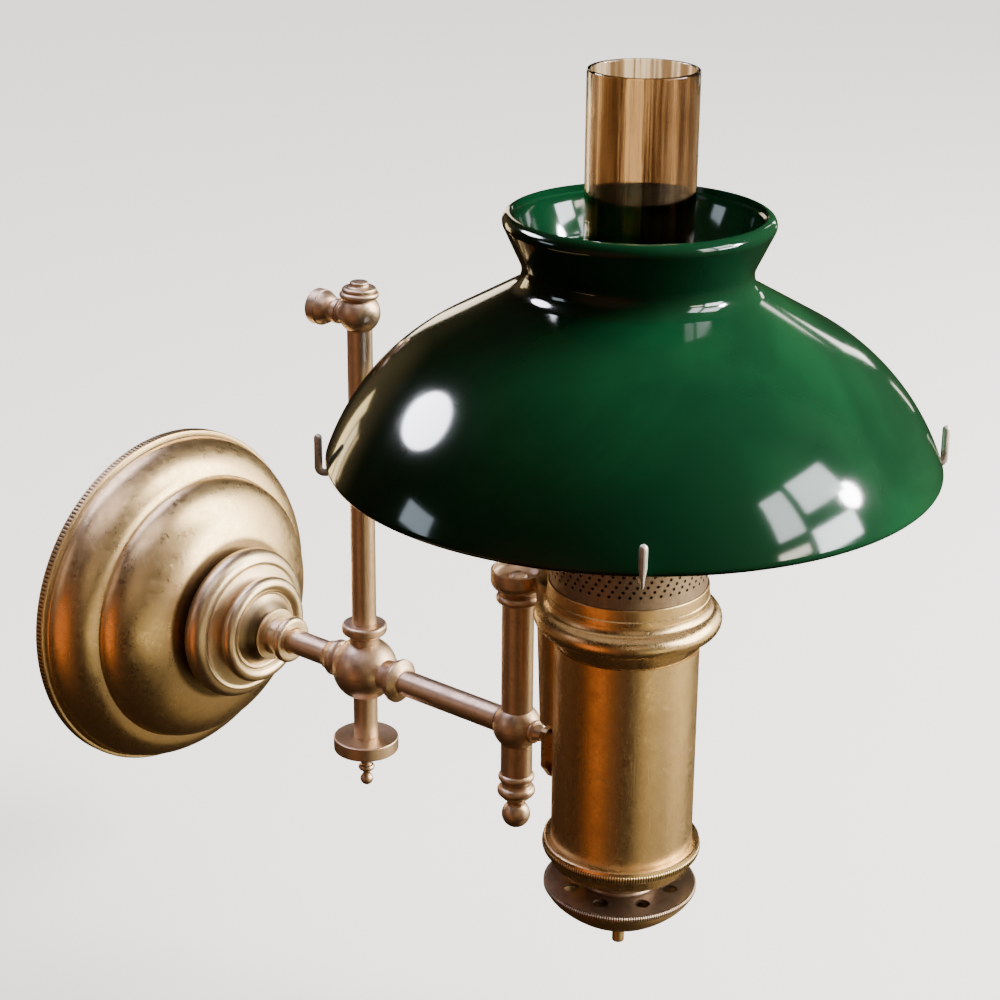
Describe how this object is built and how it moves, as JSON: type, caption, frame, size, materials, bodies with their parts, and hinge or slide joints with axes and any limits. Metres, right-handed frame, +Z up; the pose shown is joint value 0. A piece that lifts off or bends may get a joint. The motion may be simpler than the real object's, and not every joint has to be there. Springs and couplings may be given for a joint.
{
  "type": "student lamp",
  "caption": "Wall-bracket oil lamp with a stepped brass rose, a swivelling arm and post, a cylindrical burner, a flared green glass shade and a tall glass chimney.",
  "frame": {"origin": "centre of the wall strap's back face, on the wall plane and on the arm's axis", "axes": "+Y into the wall, -Y along the arm away from the wall, +Z up"},
  "size_m": [0.2502, 0.4106, 0.387],
  "materials": {
    "bracket_brass": "aged satin, mottled",
    "font_brass": "aged satin, mottled",
    "burner_brass": "sooted",
    "worn_brass": "greyed satin",
    "arm_steel": "dull plated",
    "hidden_steel": "dull",
    "cotton": "woven",
    "green_glass": "cased, glossy",
    "amber_glass": "clear, glossy"
  },
  "bodies": {
    "wall": {"wall_strap": "hidden_steel", "wall_nipple": "hidden_steel", "wall_rose": "bracket_brass", "rose_boss": "bracket_brass", "rose_cup": "bracket_brass", "root_collar": "bracket_brass", "root_flange": "bracket_brass", "inner_arm": "bracket_brass", "pivot_ball_lower": "bracket_brass"},
    "post": {"post_rod": "bracket_brass", "post_foot": "bracket_brass", "post_finial": "bracket_brass", "post_head": "bracket_brass", "post_cap": "bracket_brass"},
    "clamp_knob": {"clamp_knob": "bracket_brass"},
    "outer_arm": {"pivot_ball_upper": "bracket_brass", "pivot_collar": "bracket_brass", "outer_ferrule": "bracket_brass", "outer_arm": "bracket_brass", "column_ball_lower": "bracket_brass", "column_lower": "bracket_brass", "drop_finial": "bracket_brass", "column_spindle": "hidden_steel", "spindle_nut": "bracket_brass"},
    "lamp": {"column_ball_upper": "bracket_brass", "column_upper": "bracket_brass", "column_cup": "bracket_brass", "feed_pipe": "bracket_brass", "font_flange": "font_brass", "filler_chute": "font_brass", "font_shell": "font_brass", "font_shoulder": "font_brass", "collar_ring": "font_brass", "font_floor": "font_brass", "base_ring": "font_brass", "draught_tube": "font_brass", "wick_tube": "font_brass", "flame_spreader": "burner_brass"},
    "gallery": {"gallery": "font_brass", "gallery_deck": "font_brass", "lift_sleeve": "font_brass", "chimney_cup": "font_brass", "shade_ring": "arm_steel", "shade_arms": "arm_steel"},
    "wick": {"wick": "cotton", "wick_carrier": "burner_brass"},
    "shade": {"shade": "green_glass"},
    "chimney": {"chimney": "amber_glass"},
    "drip_cup": {"drip_disc": "worn_brass", "drip_bowl": "font_brass", "drip_pin": "worn_brass"}
  },
  "joints": [
    {"name": "post_slide", "type": "slide", "parent": "wall", "child": "post", "axis": [0, 0, 1], "range_m": [-0.05, 0.019]},
    {"name": "knob_turn", "type": "hinge", "parent": "post", "child": "clamp_knob", "pos_m": [0, -0.1346, 0.1718], "axis": [0, 1, 0], "continuous": true},
    {"name": "arm_swing", "type": "hinge", "parent": "wall", "child": "outer_arm", "pos_m": [0, -0.1346, 0], "axis": [0, 0, 1], "range_deg": [-90, 90]},
    {"name": "lamp_swing", "type": "hinge", "parent": "outer_arm", "child": "lamp", "pos_m": [0, -0.2266, 0], "axis": [0, 0, 1], "range_deg": [-40, 40]},
    {"name": "gallery_turn", "type": "hinge", "parent": "lamp", "child": "gallery", "pos_m": [0, -0.2856, 0], "axis": [0, 0, 1], "range_deg": [0, 300]},
    {"name": "wick_lift", "type": "slide", "parent": "lamp", "child": "wick", "axis": [0, 0, 1], "range_m": [0, 0.01201]},
    {"name": "shade_lift", "type": "slide", "parent": "gallery", "child": "shade", "axis": [0, 0, 1], "range_m": [0, 0.165]},
    {"name": "chimney_lift", "type": "slide", "parent": "gallery", "child": "chimney", "axis": [0, 0, 1], "range_m": [0, 0.2]},
    {"name": "drip_cup_pull", "type": "slide", "parent": "lamp", "child": "drip_cup", "axis": [0, 0, 1], "range_m": [-0.025, 0]}
  ],
  "couplings": [
    {"joint": "wick_lift", "follows": "gallery_turn", "m_per_rad": 0.0022918}
  ]
}
